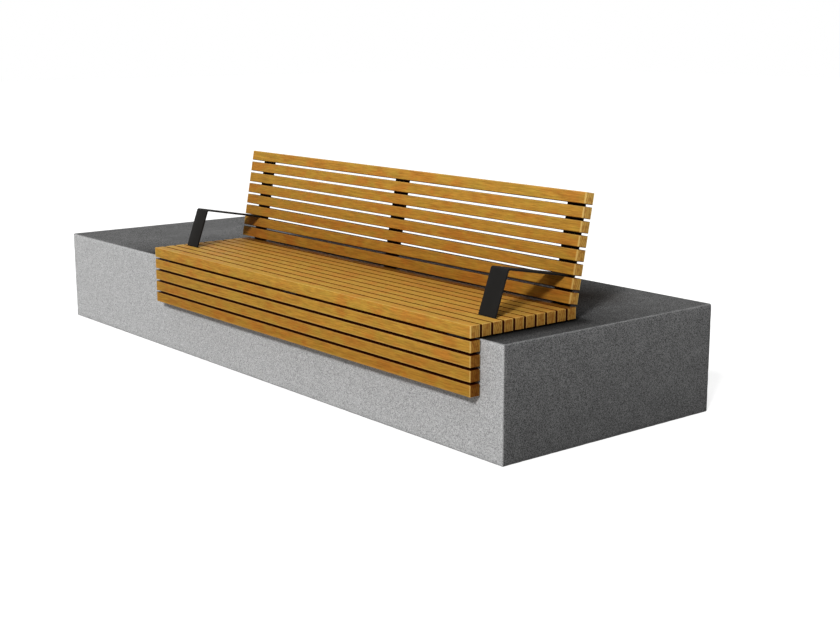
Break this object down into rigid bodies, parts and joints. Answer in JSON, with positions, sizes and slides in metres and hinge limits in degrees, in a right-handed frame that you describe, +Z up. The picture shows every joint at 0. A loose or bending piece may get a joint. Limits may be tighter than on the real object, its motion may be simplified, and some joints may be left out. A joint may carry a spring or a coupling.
{
  "type": "slatted timber bench on a concrete plinth",
  "caption": "Slatted timber seat with a leaning backrest, a slatted front panel and flat-bar armrests, bolted off-centre onto a long low concrete block.",
  "frame": {"origin": "middle of the overall footprint, on the ground", "axes": "+X along the slats, to the sitter's left as they face -Y; +Y towards the back of the plinth; +Z up"},
  "size_m": [3, 1.0466, 0.8216],
  "materials": {
    "oiled_timber": "planed hardwood slats, oiled to a satin honey brown, edges eased",
    "cast_concrete": "grey cast concrete, fine etched grain, matt",
    "black_coated_steel": "black powder coat on flat steel bar, low sheen",
    "zinc_plated_steel": "zinc-plated countersunk socket bolts and wood screws"
  },
  "bodies": {
    "root": {"anchor_bolt_01": "zinc_plated_steel", "anchor_bolt_02": "zinc_plated_steel", "anchor_bolt_03": "zinc_plated_steel", "anchor_bolt_04": "zinc_plated_steel", "anchor_bolt_05": "zinc_plated_steel", "anchor_bolt_06": "zinc_plated_steel", "armrest_left": "black_coated_steel", "armrest_right": "black_coated_steel", "back_slat_01": "oiled_timber", "back_slat_02": "oiled_timber", "back_slat_03": "oiled_timber", "back_slat_04": "oiled_timber", "back_slat_05": "oiled_timber", "back_slat_06": "oiled_timber", "back_slat_07": "oiled_timber", "back_slat_08": "oiled_timber", "back_upright_left": "black_coated_steel", "back_upright_middle": "black_coated_steel", "back_upright_right": "black_coated_steel", "concrete_plinth": "cast_concrete", "front_hanger_left": "black_coated_steel", "front_hanger_middle": "black_coated_steel", "front_hanger_right": "black_coated_steel", "front_slat_01": "oiled_timber", "front_slat_02": "oiled_timber", "front_slat_03": "oiled_timber", "front_slat_04": "oiled_timber", "seat_slat_01": "oiled_timber", "seat_slat_02": "oiled_timber", "seat_slat_03": "oiled_timber", "seat_slat_04": "oiled_timber", "seat_slat_05": "oiled_timber", "seat_slat_06": "oiled_timber", "seat_slat_07": "oiled_timber", "seat_slat_08": "oiled_timber", "seat_slat_09": "oiled_timber", "seat_slat_10": "oiled_timber", "seat_strap_left": "black_coated_steel", "seat_strap_middle": "black_coated_steel", "seat_strap_right": "black_coated_steel", "upright_rib_left": "black_coated_steel", "upright_rib_middle": "black_coated_steel", "upright_rib_right": "black_coated_steel"}
  },
  "joints": []
}
